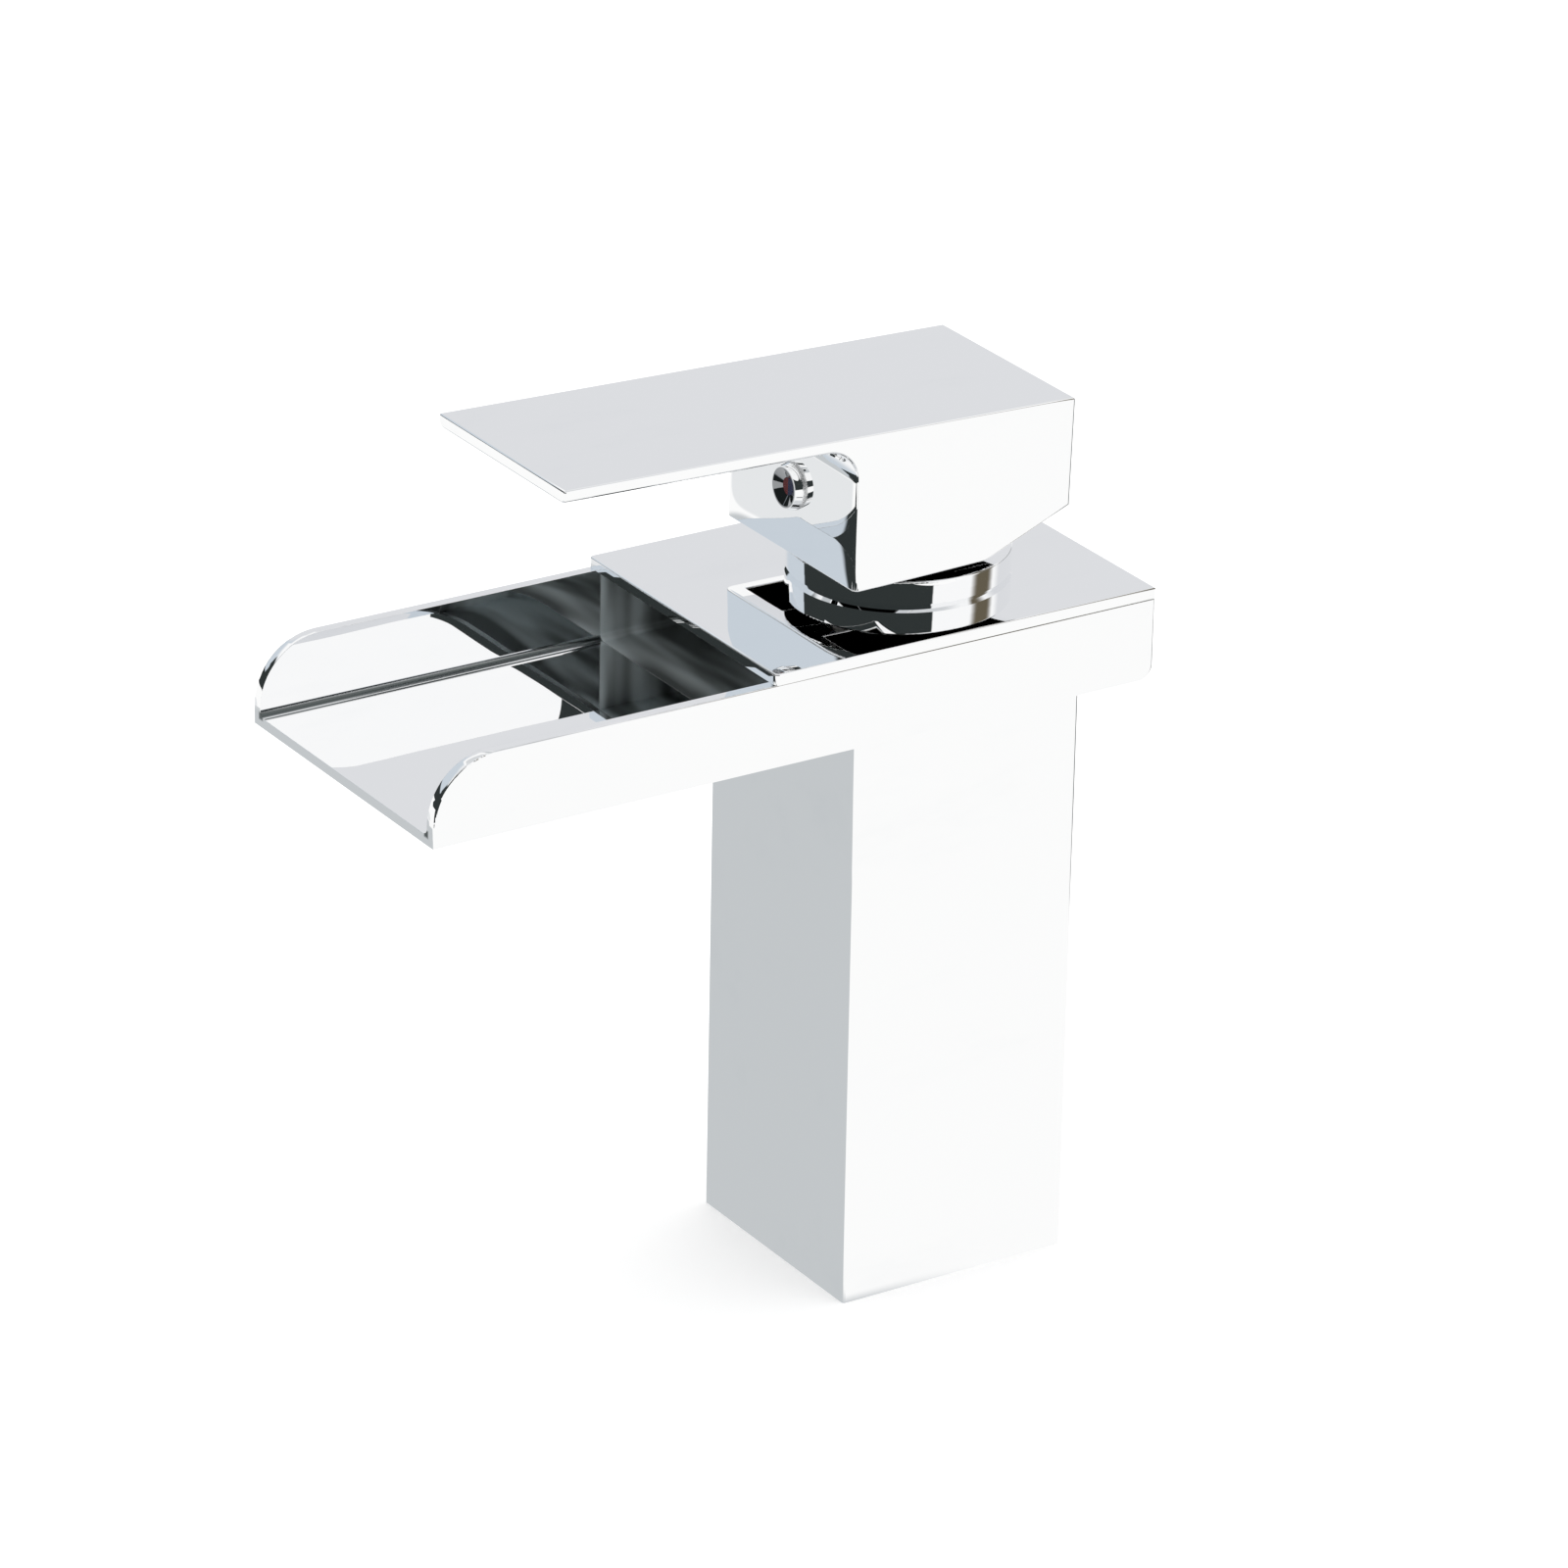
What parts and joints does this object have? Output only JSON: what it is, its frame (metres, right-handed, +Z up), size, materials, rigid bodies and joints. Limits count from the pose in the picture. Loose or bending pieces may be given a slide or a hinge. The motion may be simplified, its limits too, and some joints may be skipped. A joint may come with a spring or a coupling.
{
  "type": "waterfall basin faucet",
  "caption": "Single-lever deck-mounted basin faucet: square column, open channel spout with a cover plate, and a wide flat lever that lifts and swings on a ceramic disc cartridge.",
  "frame": {"origin": "centre of the column's foot, on the deck surface", "axes": "+Z up from the deck, -Y out of the spout towards the user, +X to the right of a user who faces the faucet (the cold side)"},
  "size_m": [0.0662, 0.156, 0.1785],
  "materials": {
    "polished_chrome": "mirror-polished chrome plate on brass",
    "red_mark": "gloss",
    "blue_mark": "gloss",
    "raw_brass": "machined",
    "nickel_plated_brass": "satin nickel plate on brass",
    "copper_tube": "drawn copper tube",
    "black_rubber": "matte",
    "grey_plastic": "moulded",
    "white_plastic": "moulded",
    "disc_ceramic": "lapped",
    "steel": "machined"
  },
  "bodies": {
    "faucet_body": {"column_body": "polished_chrome", "base_plate": "raw_brass", "foot_seal": "black_rubber", "hot_riser": "copper_tube", "cold_riser": "copper_tube", "riser_seals": "black_rubber", "valve_body": "nickel_plated_brass", "neck_gasket": "black_rubber", "neck_nut": "nickel_plated_brass", "spout_trough": "polished_chrome", "spout_cover": "polished_chrome", "bonnet_ring": "polished_chrome", "cartridge_nut": "raw_brass", "cartridge_housing": "grey_plastic", "cartridge_base": "grey_plastic", "chamber_seals": "black_rubber", "disc_seals": "black_rubber", "fixed_disc": "disc_ceramic"},
    "carriage": {"moving_disc": "disc_ceramic", "disc_carrier": "white_plastic"},
    "swivel": {"swivel_guide": "white_plastic", "pivot_pin": "steel", "guide_seal": "black_rubber"},
    "lever": {"lever_stem": "raw_brass", "lever_handle": "polished_chrome", "set_screw": "steel", "index_button": "polished_chrome", "hot_mark": "red_mark", "cold_mark": "blue_mark"}
  },
  "joints": [
    {"name": "lever_swing", "type": "hinge", "parent": "faucet_body", "child": "swivel", "pos_m": [0, 0, 0.133], "axis": [0, 0, 1], "range_deg": [-50, 50]},
    {"name": "lever_lift", "type": "hinge", "parent": "swivel", "child": "lever", "pos_m": [0, 0, 0.133], "axis": [-1, 0, 0], "range_deg": [0, 20]},
    {"name": "disc_slide", "type": "slide", "parent": "swivel", "child": "carriage", "axis": [0, -1, 0], "range_m": [0, 0.0036]}
  ],
  "couplings": [
    {"joint": "disc_slide", "follows": "lever_lift", "m_per_rad": 0.0098418}
  ]
}
